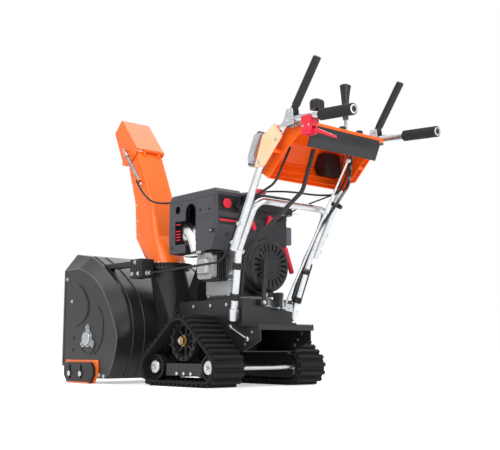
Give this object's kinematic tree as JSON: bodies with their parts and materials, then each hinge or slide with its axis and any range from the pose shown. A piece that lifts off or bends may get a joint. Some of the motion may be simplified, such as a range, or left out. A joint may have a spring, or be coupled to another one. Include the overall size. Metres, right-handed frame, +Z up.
{
  "type": "tracked snow blower",
  "caption": "Walk-behind snow blower on rubber tracks, with an auger intake, a turning discharge chute, an engine and a control console between its handles.",
  "frame": {"origin": "bottom centre of the bounding box, on the ground", "axes": "+Y forward to the intake, +X to the machine's right, +Z up"},
  "size_m": [0.7684, 1.6306, 1.175],
  "materials": {
    "orange_paint": "gloss paint",
    "black_paint": "satin paint",
    "grey_plastic": "fine moulded grain",
    "black_plastic": "satin moulded",
    "red_plastic": "moulded gloss",
    "orange_plastic": "moulded satin",
    "rubber": "moulded",
    "foam": "closed-cell foam",
    "zinc": "bright zinc plate",
    "cast_alloy": "as cast",
    "lens": "clear moulded lens over a bright reflector"
  },
  "bodies": {
    "chassis": {"chassis_frame": "black_paint", "auger_housing": "black_paint", "impeller_housing": "black_paint", "scraper_bar": "black_paint", "auger_bearings": "cast_alloy", "auger_gearbox": "cast_alloy", "drive_belt": "rubber", "belt_cover": "black_paint", "engine_block": "cast_alloy", "engine_cowl": "grey_plastic", "fuel_tank": "black_plastic", "fan_shroud": "black_paint", "recoil_cover": "black_plastic", "lower_handle": "zinc", "upper_handles": "zinc", "handle_grips": "foam", "trigger_block": "red_plastic", "dash_hood": "orange_plastic", "dash_panel": "grey_plastic", "headlight": "lens", "pinion_housing": "black_plastic", "fasteners": "zinc", "control_cables": "rubber", "deflector_cable": "rubber"},
    "undercarriage": {"left_track": "rubber", "right_track": "rubber", "track_frames": "black_paint"},
    "left_drive": {"left_sprocket": "black_paint"},
    "right_drive": {"right_sprocket": "black_paint"},
    "left_front_wheel": {"left_front_idler": "black_paint"},
    "left_rear_wheel": {"left_rear_idler": "black_paint"},
    "right_front_wheel": {"right_front_idler": "black_paint"},
    "right_rear_wheel": {"right_rear_idler": "black_paint"},
    "auger": {"auger": "orange_paint"},
    "impeller": {"impeller": "orange_paint"},
    "crank": {"crankshaft": "zinc"},
    "chute": {"chute": "orange_paint", "chute_ring": "black_plastic"},
    "pinion": {"chute_pinion": "black_plastic"},
    "deflector": {"deflector": "orange_paint"},
    "guide_rod": {"deflector_rod": "zinc", "rod_spring": "zinc"},
    "choke": {"choke_knob": "red_plastic"},
    "cap": {"fuel_cap": "red_plastic"},
    "throttle": {"throttle_lever": "red_plastic"},
    "tap": {"fuel_tap": "red_plastic"},
    "starter": {"pull_handle": "red_plastic"},
    "left_paddle": {"left_paddle": "black_plastic"},
    "right_paddle": {"right_paddle": "black_plastic"},
    "trigger": {"steering_trigger": "red_plastic"},
    "gimbal": {"stick_gimbal": "black_plastic"},
    "stick": {"joystick": "black_plastic"},
    "gear": {"gear_lever": "grey_plastic"},
    "selector": {"selector_rod": "zinc"},
    "shift": {"shift_arm": "orange_paint"},
    "light_button": {"light_switch": "black_plastic"},
    "heat_button": {"heat_switch": "black_plastic"},
    "lift": {"lift_lever": "black_paint"},
    "left_skid": {"left_skid": "black_paint"},
    "right_skid": {"right_skid": "black_paint"}
  },
  "joints": [
    {"name": "track_tilt", "type": "hinge", "parent": "chassis", "child": "undercarriage", "pos_m": [0, 0.053, 0.175], "axis": [1, 0, 0], "range_deg": [-4, 4]},
    {"name": "left_sprocket_spin", "type": "hinge", "parent": "undercarriage", "child": "left_drive", "pos_m": [-0.29, 0.053, 0.175], "axis": [1, 0, 0], "continuous": true},
    {"name": "left_front_idler_spin", "type": "hinge", "parent": "undercarriage", "child": "left_front_wheel", "pos_m": [-0.29, 0.233, 0.073], "axis": [1, 0, 0], "continuous": true},
    {"name": "left_rear_idler_spin", "type": "hinge", "parent": "undercarriage", "child": "left_rear_wheel", "pos_m": [-0.29, -0.112, 0.073], "axis": [1, 0, 0], "continuous": true},
    {"name": "right_sprocket_spin", "type": "hinge", "parent": "undercarriage", "child": "right_drive", "pos_m": [0.29, 0.053, 0.175], "axis": [1, 0, 0], "continuous": true},
    {"name": "right_front_idler_spin", "type": "hinge", "parent": "undercarriage", "child": "right_front_wheel", "pos_m": [0.29, 0.233, 0.073], "axis": [1, 0, 0], "continuous": true},
    {"name": "right_rear_idler_spin", "type": "hinge", "parent": "undercarriage", "child": "right_rear_wheel", "pos_m": [0.29, -0.112, 0.073], "axis": [1, 0, 0], "continuous": true},
    {"name": "crank_spin", "type": "hinge", "parent": "chassis", "child": "crank", "pos_m": [0.02, 0.2, 0.47], "axis": [0, 1, 0], "continuous": true},
    {"name": "impeller_spin", "type": "hinge", "parent": "chassis", "child": "impeller", "pos_m": [0, 0.35, 0.228], "axis": [0, 1, 0], "continuous": true},
    {"name": "auger_spin", "type": "hinge", "parent": "chassis", "child": "auger", "pos_m": [0, 0.598, 0.188], "axis": [1, 0, 0], "continuous": true},
    {"name": "chute_rotate", "type": "hinge", "parent": "chassis", "child": "chute", "pos_m": [-0.128, 0.345, 0.487], "axis": [0, 0, 1], "range_deg": [-95, 95], "deforming": ["deflector_cable"]},
    {"name": "pinion_spin", "type": "hinge", "parent": "chassis", "child": "pinion", "pos_m": [-0.253, 0.345, 0.487], "axis": [0, 0, 1], "range_deg": [-400, 400]},
    {"name": "deflector_tilt", "type": "hinge", "parent": "chute", "child": "deflector", "pos_m": [-0.128, 0.484, 1.02], "axis": [-1, 0, 0], "range_deg": [0, 42], "deforming": ["rod_spring"]},
    {"name": "guide_rod_swing", "type": "hinge", "parent": "deflector", "child": "guide_rod", "pos_m": [-0.217, 0.566, 1.024], "axis": [-1, 0, 0], "range_deg": [-36, 1]},
    {"name": "left_paddle_press", "type": "hinge", "parent": "chassis", "child": "left_paddle", "pos_m": [-0.223, -0.53, 0.969], "axis": [1, 0, 0], "range_deg": [0, 50], "stiffness_Nm_per_rad": 1.5, "springref_deg": -28.65},
    {"name": "right_paddle_press", "type": "hinge", "parent": "chassis", "child": "right_paddle", "pos_m": [0.223, -0.53, 0.969], "axis": [1, 0, 0], "range_deg": [0, 50], "stiffness_Nm_per_rad": 1.5, "springref_deg": -28.65},
    {"name": "trigger_pull", "type": "hinge", "parent": "chassis", "child": "trigger", "pos_m": [-0.223, -0.612, 0.884], "axis": [-1, 0, 0], "range_deg": [0, 14], "stiffness_Nm_per_rad": 0.8, "springref_deg": -34.38},
    {"name": "gear_shift", "type": "hinge", "parent": "chassis", "child": "gear", "pos_m": [0.05, -0.53, 0.888], "axis": [1, 0, 0], "range_deg": [-14, 14]},
    {"name": "selector_swing", "type": "hinge", "parent": "gear", "child": "selector", "pos_m": [0.06, -0.53, 0.838], "axis": [1, 0, 0], "range_deg": [-15, 15]},
    {"name": "shift_swing", "type": "hinge", "parent": "chassis", "child": "shift", "pos_m": [0.05, -0.177, 0.352], "axis": [1, 0, 0], "range_deg": [-15, 15]},
    {"name": "stick_pitch", "type": "hinge", "parent": "chassis", "child": "gimbal", "pos_m": [-0.06, -0.49, 0.906], "axis": [-1, 0, 0], "range_deg": [-2, 18]},
    {"name": "stick_roll", "type": "hinge", "parent": "gimbal", "child": "stick", "pos_m": [-0.06, -0.49, 0.906], "axis": [0, 1, 0], "range_deg": [-18, 18]},
    {"name": "lift_pull", "type": "hinge", "parent": "chassis", "child": "lift", "pos_m": [0.219, -0.077, 0.294], "axis": [1, 0, 0], "range_deg": [0, 20]},
    {"name": "pull_start", "type": "slide", "parent": "chassis", "child": "starter", "axis": [1, 0, 0], "range_m": [0, 0.12], "stiffness_N_per_m": 20, "springref_m": -0.1},
    {"name": "cap_turn", "type": "hinge", "parent": "chassis", "child": "cap", "pos_m": [0.042, -0.046, 0.74], "axis": [0, 0, 1], "range_deg": [0, 90]},
    {"name": "choke_turn", "type": "hinge", "parent": "chassis", "child": "choke", "pos_m": [-0.148, -0.068, 0.71], "axis": [0, 1, 0], "range_deg": [0, 90]},
    {"name": "throttle_swing", "type": "hinge", "parent": "chassis", "child": "throttle", "pos_m": [0.04, -0.104, 0.64], "axis": [0, 1, 0], "range_deg": [-20, 20]},
    {"name": "tap_turn", "type": "hinge", "parent": "chassis", "child": "tap", "pos_m": [-0.038, -0.104, 0.618], "axis": [0, 1, 0], "range_deg": [0, 70]},
    {"name": "light_push", "type": "slide", "parent": "chassis", "child": "light_button", "axis": [0, 0, -1], "range_m": [0, 0.0025], "stiffness_N_per_m": 800, "springref_m": -0.002},
    {"name": "heat_push", "type": "slide", "parent": "chassis", "child": "heat_button", "axis": [0, 0, -1], "range_m": [0, 0.0025], "stiffness_N_per_m": 800, "springref_m": -0.002},
    {"name": "left_skid_slide", "type": "slide", "parent": "chassis", "child": "left_skid", "axis": [0, 0, 1], "range_m": [-0.028, 0.012]},
    {"name": "right_skid_slide", "type": "slide", "parent": "chassis", "child": "right_skid", "axis": [0, 0, 1], "range_m": [-0.028, 0.012]}
  ],
  "couplings": [
    {"joint": "left_front_idler_spin", "follows": "left_sprocket_spin", "ratio": 1.549},
    {"joint": "left_rear_idler_spin", "follows": "left_sprocket_spin", "ratio": 1.549},
    {"joint": "right_front_idler_spin", "follows": "right_sprocket_spin", "ratio": 1.549},
    {"joint": "right_rear_idler_spin", "follows": "right_sprocket_spin", "ratio": 1.549},
    {"joint": "crank_spin", "follows": "impeller_spin", "ratio": 2.931},
    {"joint": "auger_spin", "follows": "impeller_spin", "ratio": 0.1},
    {"joint": "pinion_spin", "follows": "chute_rotate", "ratio": -4},
    {"joint": "guide_rod_swing", "follows": "deflector_tilt", "ratio": -0.79},
    {"joint": "selector_swing", "follows": "gear_shift", "ratio": -1},
    {"joint": "shift_swing", "follows": "gear_shift", "ratio": 1},
    {"joint": "stick_pitch", "follows": "deflector_tilt", "ratio": 0.38},
    {"joint": "stick_roll", "follows": "chute_rotate", "ratio": -0.17}
  ]
}
